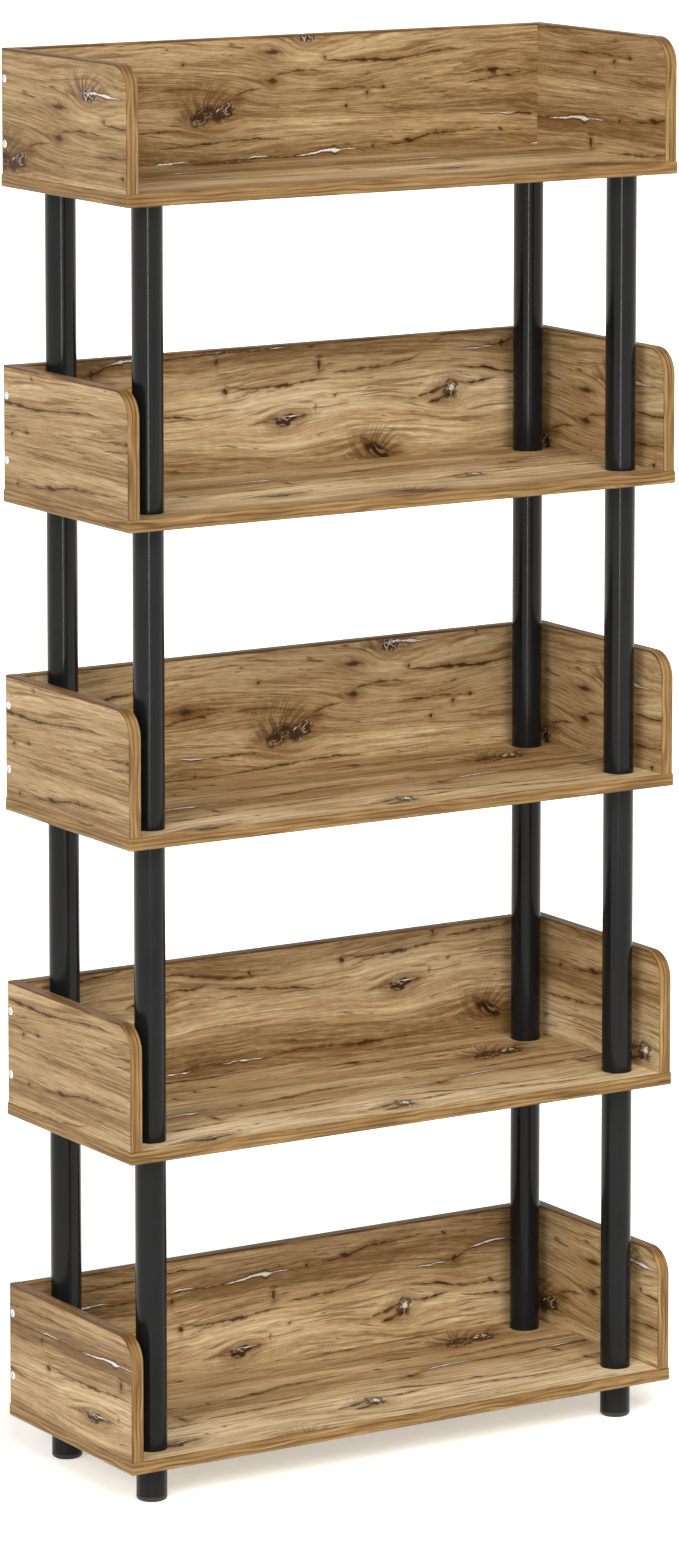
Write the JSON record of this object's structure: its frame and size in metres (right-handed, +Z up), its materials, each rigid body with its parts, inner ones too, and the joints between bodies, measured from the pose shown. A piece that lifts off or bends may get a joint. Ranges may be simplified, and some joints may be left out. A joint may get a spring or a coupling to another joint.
{
  "type": "display rack",
  "caption": "Freestanding display rack of shallow open-front wooden trays with low sides and backs, stacked on screw-together black tubes.",
  "frame": {"origin": "on the floor, under the middle of the rack's bounding box", "axes": "+X to the right along the trays, +Y from the open front to the back, +Z up"},
  "size_m": [0.6, 0.2336, 1.336],
  "materials": {
    "oak_laminate": "matt printed oak laminate with dark knots",
    "edge_band": "matt oak-print edge band",
    "black_tube": "satin black powder coat",
    "black_plastic": "moulded black plastic",
    "zinc_screw": "bright zinc plate"
  },
  "bodies": {
    "root": {"tray_1_shelf_board": "oak_laminate", "tray_1_left_panel": "oak_laminate", "tray_1_right_panel": "oak_laminate", "tray_1_back_panel": "oak_laminate", "tray_1_edge_bands": "edge_band", "tray_1_screws": "zinc_screw", "tray_2_shelf_board": "oak_laminate", "tray_2_left_panel": "oak_laminate", "tray_2_right_panel": "oak_laminate", "tray_2_back_panel": "oak_laminate", "tray_2_edge_bands": "edge_band", "tray_2_screws": "zinc_screw", "tray_3_shelf_board": "oak_laminate", "tray_3_left_panel": "oak_laminate", "tray_3_right_panel": "oak_laminate", "tray_3_back_panel": "oak_laminate", "tray_3_edge_bands": "edge_band", "tray_3_screws": "zinc_screw", "tray_4_shelf_board": "oak_laminate", "tray_4_left_panel": "oak_laminate", "tray_4_right_panel": "oak_laminate", "tray_4_back_panel": "oak_laminate", "tray_4_edge_bands": "edge_band", "tray_4_screws": "zinc_screw", "tray_5_shelf_board": "oak_laminate", "tray_5_left_panel": "oak_laminate", "tray_5_right_panel": "oak_laminate", "tray_5_back_panel": "oak_laminate", "tray_5_edge_bands": "edge_band", "tray_5_screws": "zinc_screw", "tube_1_front_left": "black_tube", "tube_1_front_right": "black_tube", "tube_1_rear_left": "black_tube", "tube_1_rear_right": "black_tube", "tube_2_front_left": "black_tube", "tube_2_front_right": "black_tube", "tube_2_rear_left": "black_tube", "tube_2_rear_right": "black_tube", "tube_3_front_left": "black_tube", "tube_3_front_right": "black_tube", "tube_3_rear_left": "black_tube", "tube_3_rear_right": "black_tube", "tube_4_front_left": "black_tube", "tube_4_front_right": "black_tube", "tube_4_rear_left": "black_tube", "tube_4_rear_right": "black_tube", "foot_tube_front_left": "black_tube", "foot_glide_front_left": "black_plastic", "foot_tube_front_right": "black_tube", "foot_glide_front_right": "black_plastic", "foot_tube_rear_left": "black_tube", "foot_glide_rear_left": "black_plastic", "foot_tube_rear_right": "black_tube", "foot_glide_rear_right": "black_plastic", "tube_studs": "black_plastic", "tube_sockets": "black_plastic", "top_studs": "black_plastic", "top_stud_screws": "zinc_screw"}
  },
  "joints": []
}
